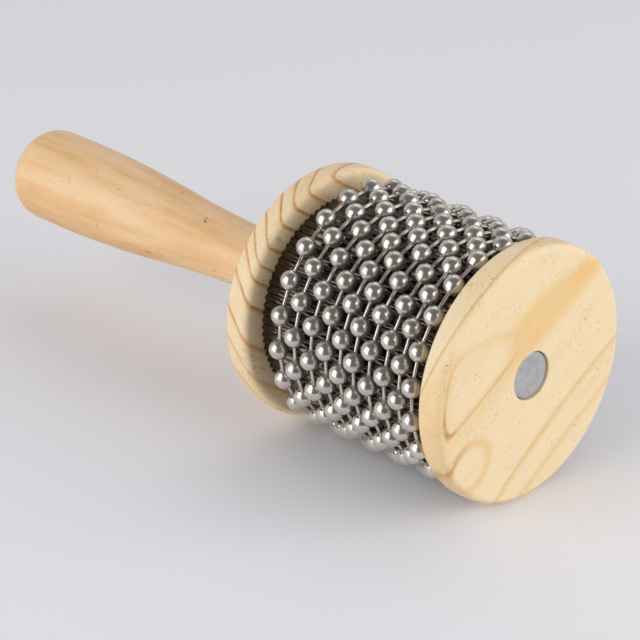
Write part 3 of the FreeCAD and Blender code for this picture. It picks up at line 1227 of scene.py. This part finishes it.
@dataclass
class BallShape:
    """One steel ball of the chain, with a lipped hole at each pole, and the pin between two balls.

    Attributes:
        hole_radius: The radius of the holes, in millimetres, as all sizes here are.
        hole_depth: How far their lips go in.
        throat: The radius at the lips' inner edge.
        pin_taper: How long the pin's tapered ends are.
        pin_tip: How wide they end, as a share of the pin.
        rings: How many rings the ball starts with.
    """

    TONE = "ball_tone"

    diameter: float = 6.0
    hole_radius: float = 0.95
    hole_depth: float = 0.45
    throat: float = 0.62
    pin_radius: float = 0.56
    pin_taper: float = 0.5
    pin_tip: float = 0.7
    pin_sides: int = 10
    segments: int = 12
    rings: int = 8

    def build_ball(self, material: bpy.types.Material) -> bpy.types.Object:
        """Makes the ball with its poles along Z.

        Args:
            material: The ball's finish.

        Returns:
            The ball, in a mesh of its own.
        """
        radius = self.diameter / 2.0 * MM
        clear_selection()
        bpy.ops.mesh.primitive_uv_sphere_add(segments=self.segments, ring_count=self.rings, radius=radius)
        ball = bpy.context.object
        ball.name = "pattern_ball"
        rim_height = radius * math.cos(math.pi / self.rings)
        rim_radius = radius * math.sin(math.pi / self.rings)
        hole = self.hole_radius * MM
        hole_height = math.sqrt(radius**2 - hole**2)
        with editing(ball):
            pick_corners(ball, lambda co: abs(co.z) > radius - HAIR)
            bpy.ops.mesh.delete(type="VERT")
            for side in (1.0, -1.0):
                pick_corners(ball, lambda co, side=side: co.z * side > rim_height - HAIR)
                narrow(hole / rim_radius)
                bpy.ops.transform.translate(value=(0.0, 0.0, side * (hole_height - rim_height)))
                draw_out(-side * self.hole_depth * MM)
                narrow(self.throat / self.hole_radius)
                bpy.ops.mesh.edge_face_add()
            face_outwards()
        smooth(ball, 40.0)
        coat(ball, material)
        return ball

    def build_pin(self, length: float, material: bpy.types.Material) -> bpy.types.Object:
        """Makes the pin along Z, with ends that taper into the balls.

        Args:
            length: The pin's length, in millimetres.
            material: The pin's finish.

        Returns:
            The pin, in a mesh of its own.
        """
        taper = self.pin_taper * MM
        half = length * MM / 2.0 - taper
        clear_selection()
        bpy.ops.mesh.primitive_cylinder_add(
            vertices=self.pin_sides, radius=self.pin_radius * MM, depth=2.0 * half, end_fill_type="NGON"
        )
        pin = bpy.context.object
        pin.name = "pattern_pin"
        with editing(pin):
            for side in (1.0, -1.0):
                pick_corners(pin, lambda co, side=side: co.z * side > half - HAIR)
                draw_out(side * taper)
                narrow(self.pin_tip)
        smooth(pin, 50.0)
        coat(pin, material)
        return pin


@dataclass
class BeadChains:
    """Ten closed loops of ball chain, laid side by side round the sleeve.

    Attributes:
        ring_radius: The distance from the axis to a ball's centre, in millimetres, as all lengths here are.
        ball_foot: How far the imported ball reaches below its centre.
        pin_reach: How far in all a pin's ends go past the balls' lips.
        first_turn: Where the first ball of the odd loops lies, in degrees.
        loop_turns: How far each loop has slipped round, in degrees.
        loop_rises: How far each loop rides up at the angle of 0.
        rise_fade: How fast that fades round the drum.
        seed: The start of the random draws.
    """

    loops: int = 10
    balls: int = 21
    ring_radius: float = 34.1
    ball_foot: float = 2.5886
    pin_reach: float = 0.6
    first_turn: float = 2.2
    loop_turns: tuple[float, ...] = (0.3, 0.1, 0.0, 0.5, 0.1, -0.2, -0.2, 0.1, -0.3, -1.3)
    loop_rises: tuple[float, ...] = (0.0, 0.0, 0.0, 0.0, 0.0, 0.5, 0.7, 1.5, 2.0, 3.3)
    rise_fade: int = 8
    shape: BallShape = field(default_factory=BallShape)
    seed: int = 7

    def build(self) -> None:
        """Strings and lays all the loops, from the front one to the rear one."""
        draw = random.Random(self.seed)
        material = BEAD_STEEL.build()
        chord = 2.0 * self.ring_radius * math.sin(math.pi / self.balls)
        ball = self.shape.build_ball(material)
        lip = self.shape.diameter / 2.0 - self.shape.hole_depth
        pin = self.shape.build_pin(chord - 2.0 * lip + self.pin_reach, material)
        for number in range(1, self.loops + 1):
            self._string(number, ball, pin, draw)
        for pattern in (ball, pin):
            bpy.data.objects.remove(pattern)

    def _centres(self, number: int) -> list[Vector]:
        """Where the centres of a loop's balls lie, in metres.

        Args:
            number: The loop's number, from 1 at the front.

        Returns:
            One point for each ball.
        """
        foot = reach(f"bead_loop_{number:02d}")[1] + self.ball_foot
        pitch = FULL_TURN / self.balls
        start = math.radians(self.first_turn + self.loop_turns[number - 1])
        if number % 2 == 0:
            start += pitch / 2.0
        centres = []
        for index in range(self.balls):
            turn = start + index * pitch
            lift = self.loop_rises[number - 1] * math.cos(turn / 2.0) ** self.rise_fade
            radius = self.ring_radius
            centres.append(Vector((radius * math.cos(turn), radius * math.sin(turn), foot + lift)) * MM)
        return centres

    def _string(
        self, number: int, ball: bpy.types.Object, pin: bpy.types.Object, draw: random.Random
    ) -> None:
        """Strings one loop.

        Args:
            number: The loop's number, from 1 at the front.
            ball: The ball to copy.
            pin: The pin to copy.
            draw: The random draws.
        """
        node = f"bead_loop_{number:02d}"
        centres = self._centres(number)
        copies = []
        for index, centre in enumerate(centres):
            before = centres[index - 1]
            after = centres[(index + 1) % self.balls]
            roll = draw.uniform(0.0, FULL_TURN)
            grey = draw.random()
            copies.append(self._copy(ball, centre, after - before, roll, grey))
            copies.append(self._copy(pin, (centre + after) / 2.0, after - centre, 0.0, grey))
        pick(copies[0])
        for copy in copies:
            copy.select_set(True)
        bpy.ops.object.join()
        loop = bpy.context.object
        loop.name = f"{node}_chain"
        fit(loop, Body.CHAINS, Slot.BEAD_STEEL, node)

    @staticmethod
    def _copy(
        pattern: bpy.types.Object, centre: Vector, way: Vector, roll: float, grey: float
    ) -> bpy.types.Object:
        """Lays one copy of a ball or pin in its loop.

        Args:
            pattern: What is copied, with its length along Z.
            centre: Where its middle goes, in metres.
            way: The direction in which the chain runs there.
            roll: How far it is rolled about its own length.
            grey: Its own tone, from 0 to 1.

        Returns:
            The copy, with its place in its mesh.
        """
        copy = pattern.copy()
        copy.data = pattern.data.copy()
        bpy.context.scene.collection.objects.link(copy)
        length = way.normalized()
        side = length.cross(Vector((centre.x, centre.y, 0.0))).normalized()
        lie = Matrix((side.cross(length), side, length)).transposed().to_4x4()
        copy.data.transform(Matrix.Translation(centre) @ lie @ Matrix.Rotation(roll, 4, "Z"))
        own = copy.data.attributes.new(BallShape.TONE, "FLOAT", "POINT")
        own.data.foreach_set("value", [grey] * len(copy.data.vertices))
        return copy


@dataclass
class HiddenPieces:
    """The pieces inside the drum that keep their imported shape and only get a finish."""

    def dress(self) -> None:
        """Gives the core and the insert their finishes."""
        for node, finish in (("drum_core", PlainWoodFinish()), ("handle_insert", INSERT_STEEL)):
            coat(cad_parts[node], finish.build())
            LOG.info("%s: dressed", node)


@dataclass(frozen=True)
class Softbox:
    """A soft lamp that looks at the drum, with sizes in metres.

    Attributes:
        direction: Where it stands, seen from the drum.
        level: How bright its face is.
    """

    name: str
    direction: Triple
    width: float
    height: float
    level: float
    colour: Colour = (1.0, 1.0, 1.0)
    distance: float = 1.2


@dataclass
class Studio:
    """The camera, the lamps, the room and the plain floors, with places in metres.

    Attributes:
        eye: Where the camera stands.
        right: The direction of the picture's right side.
        down: The direction of the picture's lower side.
        ahead: The direction in which the camera looks.
        shift: How far the sensor is moved, as a share of its width.
        upright: The direction that the picture shows as up, square to the drum's axis.
        middle: The point that the lamps look at.
        backdrop: The room as the camera sees it.
        room: The room as it lights the drum.
        mirrored_room: The room as the metal mirrors it.
        ceiling: The room's upper part.
        ceiling_edge: Between which two heights it starts, from -1 to 1.
        ceiling_share: How much of its colour there is.
        front: The room on the camera's side, as the metal mirrors it.
        front_edge: Where that side starts, as a height towards the camera.
        floor_gap: How far below the drum the standing floor lies.
    """

    eye: Triple = (-0.008867, -0.648607, -0.449732)
    right: Triple = (0.397182, 0.577597, -0.713182)
    down: Triple = (-0.91774, 0.249974, -0.308652)
    ahead: Triple = (0.0, 0.777106, 0.629369)
    lens: float = 162.868
    sensor: float = 36.0
    shift: Point = (-0.0008, 0.0004)
    upright: Triple = (0.8240, -0.5666, 0.0)
    middle: Triple = (0.0, 0.0, 0.05)
    backdrop: Colour = (0.74, 0.745, 0.77)
    room: Colour = (0.46, 0.46, 0.475)
    mirrored_room: Colour = (0.62, 0.62, 0.63)
    ceiling: Colour = (0.48, 0.482, 0.50)
    ceiling_edge: Point = (0.0, 0.8)
    ceiling_share: float = 0.35
    front: Colour = (0.09, 0.086, 0.082)
    front_edge: Point = (-0.45, 0.5)
    floor_gap: float = 0.0002
    floor_size: float = 3.0
    lamps: tuple[Softbox, ...] = (
        Softbox("left_softbox", (-0.37, -0.87, 0.31), 1.15, 1.6, 2.0),
        Softbox("right_softbox", (0.395, 0.153, -0.889), 1.4, 1.2, 2.2, (1.0, 0.99, 0.97)),
        Softbox("top_softbox", (0.963, 0.0, 0.268), 0.83, 0.5, 0.8),
    )

    def build(self) -> None:
        """Sets up the whole studio."""
        self._place_camera()
        self._make_room()
        for lamp in self.lamps:
            self._hang(lamp)
        self._lay_floors()
        bpy.context.scene.view_settings.view_transform = "Standard"
        LOG.info("studio: %d lamps", len(self.lamps))

    @staticmethod
    def _stand(name: str, data: bpy.types.ID, place: Vector, *axes: Vector) -> bpy.types.Object:
        """Puts a camera or a lamp into the scene.

        Args:
            name: The object's name.
            data: The camera or lamp.
            place: Where it stands, in metres.
            *axes: The directions of its own X, Y and Z.

        Returns:
            The new object.
        """
        thing = bpy.data.objects.new(name, data)
        bpy.context.scene.collection.objects.link(thing)
        thing.matrix_world = Matrix.Translation(place) @ Matrix(axes).transposed().to_4x4()
        return thing

    def _place_camera(self) -> None:
        """Puts the camera where the picture was taken from."""
        data = bpy.data.cameras.new("camera")
        data.sensor_width = self.sensor
        data.lens = self.lens
        data.shift_x, data.shift_y = self.shift
        data.clip_start = 0.01
        axes = (Vector(self.right), -Vector(self.down), -Vector(self.ahead))
        bpy.context.scene.camera = self._stand("camera", data, Vector(self.eye), *axes)

    def _make_room(self) -> None:
        """Pale to the camera, a grey room to everything else, and mirrored darker on the camera's side."""
        world = bpy.data.worlds.new("room")
        world.use_nodes = True
        bpy.context.scene.world = world
        bench = Bench(world.node_tree)
        look = bench.add("ShaderNodeTexCoord", result="Generated")
        towards_eye = (Vector(self.eye) - Vector(self.middle)).normalized()
        mirrored = bench.ray("Is Glossy Ray")
        front = look.dot(tuple(towards_eye)).step(*self.front_edge) * mirrored
        above = look.dot(self.upright).step(*self.ceiling_edge)
        room = bench.blend(mirrored, self.room, self.mirrored_room)
        room = bench.blend(above * self.ceiling_share, room, self.ceiling)
        room = bench.blend(front, room, self.front)
        colour = bench.blend(bench.ray("Is Camera Ray"), room, self.backdrop)
        light = bench.add("ShaderNodeBackground", None, {"Color": colour, "Strength": 1.0})
        bench.add("ShaderNodeOutputWorld", None, {"Surface": light})

    def _hang(self, lamp: Softbox) -> None:
        """Hangs one lamp, its long side along the picture's up.

        Args:
            lamp: The lamp.
        """
        data = bpy.data.lights.new(lamp.name, "AREA")
        data.shape = "RECTANGLE"
        data.size = lamp.width
        data.size_y = lamp.height
        data.energy = lamp.level * lamp.width * lamp.height * math.pi
        data.color = lamp.colour
        back = Vector(lamp.direction).normalized()
        side = Vector(self.upright).cross(back).normalized()
        place = Vector(self.middle) + back * lamp.distance
        light = self._stand(lamp.name, data, place, side, back.cross(side), back)
        light.visible_camera = False

    def _lay_floors(self) -> None:
        """Lays the floor that the drum lies on in the picture, and one that it stands on in other views."""
        upright, back = Vector(self.upright), -Vector(self.ahead)
        frontward = (back - upright * back.dot(upright)).normalized()
        lying = self._sheet("lying_floor", -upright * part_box("front_disc")[1].x, upright)
        standing = self._sheet("standing_floor", Vector((0.0, 0.0, -self.floor_gap)), Vector(UP))
        coat(lying, FloorFinish("floor_lying", frontward=tuple(frontward)).build())
        coat(standing, FloorFinish("floor_standing").build())

    def _sheet(self, name: str, centre: Vector, normal: Vector) -> bpy.types.Object:
        """Makes one large flat sheet.

        Args:
            name: The sheet's name.
            centre: A point on it.
            normal: The direction that it faces.

        Returns:
            The sheet.
        """
        clear_selection()
        turn = normal.to_track_quat("Z", "Y").to_euler()
        bpy.ops.mesh.primitive_plane_add(size=self.floor_size, location=centre, rotation=turn)
        sheet = bpy.context.object
        sheet.name = name
        apply_place(sheet)
        return sheet


def main() -> None:
    """Builds the pieces in order, then the studio."""
    logging.basicConfig(level=logging.INFO, format="%(name)s: %(message)s")
    discs = Discs()
    discs.build_front()
    discs.build_rear()
    RibbedSleeve().build()
    CentreBolt().build()
    Handle().build()
    BeadChains().build()
    HiddenPieces().dress()
    Studio().build()


if __name__ == "__main__":
    main()
